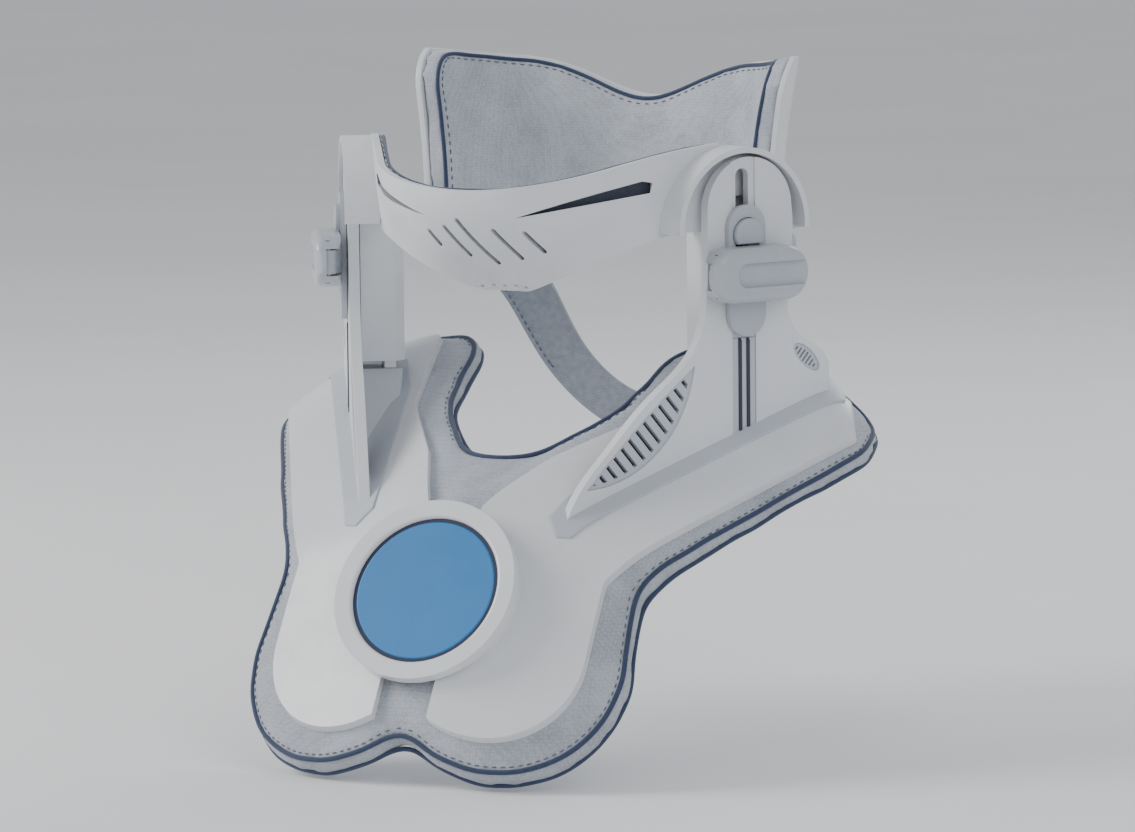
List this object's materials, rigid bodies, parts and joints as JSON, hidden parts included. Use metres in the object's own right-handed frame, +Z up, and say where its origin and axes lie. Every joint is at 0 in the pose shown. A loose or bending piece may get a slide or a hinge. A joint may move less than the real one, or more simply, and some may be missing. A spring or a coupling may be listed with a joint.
{
  "type": "cervical traction device",
  "caption": "Worn neck traction frame: padded shoulder base, two uprights, lifting chin and occiput rests, flip levers and release buttons.",
  "frame": {"origin": "midway between the two uprights, level with their feet, on the symmetry plane", "axes": "+X to the wearer's left, +Y to the wearer's back, +Z up"},
  "size_m": [0.2994, 0.276, 0.3075],
  "materials": {
    "pad": "knitted cover over foam",
    "lining": "knitted cover over foam",
    "shell": "satin moulded",
    "control": "satin moulded",
    "trim": "fine texture",
    "ring": "smooth",
    "seal": "matt",
    "emblem": "smooth",
    "steel": "brushed",
    "post": "anodised",
    "shoe": "matt",
    "strap": "woven webbing",
    "bracket": "fine texture"
  },
  "bodies": {
    "base": {"base_pad": "pad", "wing_shell_left": "shell", "wing_shell_right": "shell", "emblem_backplate": "ring", "emblem_ring": "ring", "emblem_seal": "seal", "emblem_disc": "emblem", "emblem_screw_upper_left": "steel", "emblem_screw_upper_right": "steel", "emblem_screw_lower_left": "steel", "emblem_screw_lower_right": "steel", "column_left": "shell", "column_right": "shell", "column_gasket_left": "trim", "column_gasket_right": "trim", "vent_front_left": "trim", "vent_front_right": "trim", "vent_rear_left": "trim", "vent_rear_right": "trim", "track_strip_left": "trim", "track_strip_right": "trim", "post_left": "post", "post_right": "post", "post_socket_left": "trim", "post_socket_right": "trim", "brake_strip_left": "steel", "brake_strip_right": "steel"},
    "head": {"chin_shell": "shell", "chin_liner": "lining", "lift_housing_left": "shell", "lift_housing_right": "shell", "slider_left": "control", "slider_right": "control", "clamp_bolt_left": "steel", "clamp_bolt_right": "steel", "lever_pin_left": "steel", "lever_pin_right": "steel", "tilt_bracket_left": "bracket", "tilt_bracket_right": "bracket", "tilt_pin_left": "steel", "tilt_pin_right": "steel"},
    "occiput": {"occiput_shell": "shell", "occiput_pad": "lining", "nape_strap": "strap", "tilt_arm_left": "bracket", "tilt_arm_right": "bracket", "strap_anchor_left": "bracket", "strap_anchor_right": "bracket"},
    "lever_left": {"lever_left": "control"},
    "button_left": {"release_button_left": "control", "brake_shoe_left": "shoe", "button_spring_left": "steel"},
    "lever_right": {"lever_right": "control"},
    "button_right": {"release_button_right": "control", "brake_shoe_right": "shoe", "button_spring_right": "steel"}
  },
  "joints": [
    {"name": "head_lift", "type": "slide", "parent": "base", "child": "head", "axis": [0, 0, 1], "range_m": [0, 0.025]},
    {"name": "occiput_tilt", "type": "hinge", "parent": "head", "child": "occiput", "pos_m": [0, 0.038, 0.094], "axis": [-1, 0, 0], "range_deg": [0, 15]},
    {"name": "lever_left_flip", "type": "hinge", "parent": "head", "child": "lever_left", "pos_m": [0.09808, -0.02579, 0.0735], "axis": [0, 0, -1], "range_deg": [0, 90]},
    {"name": "button_left_press", "type": "slide", "parent": "head", "child": "button_left", "axis": [-0.866, 0.5, 0], "range_m": [0, 0.002], "stiffness_N_per_m": 600, "springref_m": -0.001, "deforming": ["button_spring_left"]},
    {"name": "lever_right_flip", "type": "hinge", "parent": "head", "child": "lever_right", "pos_m": [-0.09808, -0.02579, 0.0735], "axis": [0, 0, 1], "range_deg": [0, 90]},
    {"name": "button_right_press", "type": "slide", "parent": "head", "child": "button_right", "axis": [0.866, 0.5, 0], "range_m": [0, 0.002], "stiffness_N_per_m": 600, "springref_m": -0.001, "deforming": ["button_spring_right"]}
  ]
}
